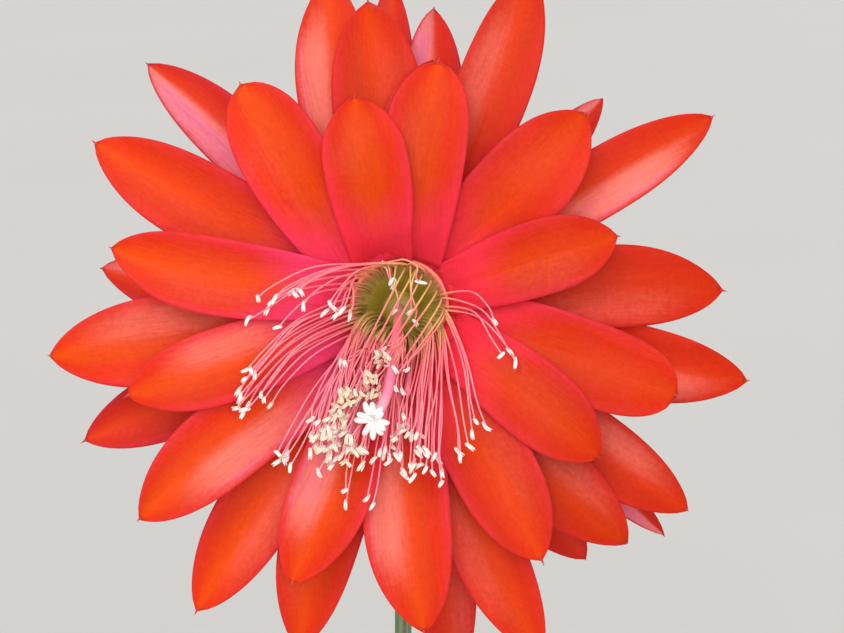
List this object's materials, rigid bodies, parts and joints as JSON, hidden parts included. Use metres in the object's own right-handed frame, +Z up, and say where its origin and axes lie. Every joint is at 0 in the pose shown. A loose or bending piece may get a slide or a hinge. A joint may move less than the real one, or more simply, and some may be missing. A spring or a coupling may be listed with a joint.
{
  "type": "potted orchid cactus in bloom",
  "caption": "Potted orchid cactus with flat scalloped stems and one large orange-red bloom, in a plain clay pot.",
  "frame": {"origin": "centre of the pot's underside", "axes": "+Z up along the pot's axis; the bloom faces -Y and a little up; +X to the right of someone who faces the bloom"},
  "size_m": [0.3682, 0.3045, 0.4179],
  "materials": {
    "clay": "matte",
    "mix": "matte",
    "stem": "satin",
    "tube": "satin",
    "sepal": "satin",
    "petal": "satin",
    "stamen": "satin",
    "style": "satin"
  },
  "bodies": {
    "root": {"pot": "clay", "soil": "mix", "stem_1": "stem", "stem_2": "stem", "stem_3": "stem", "stem_4": "stem", "stem_5": "stem", "stem_6": "stem", "stem_7": "stem", "bloom_tube": "tube", "sepals": "sepal", "petals": "petal", "stamens": "stamen", "style": "style"}
  },
  "joints": []
}
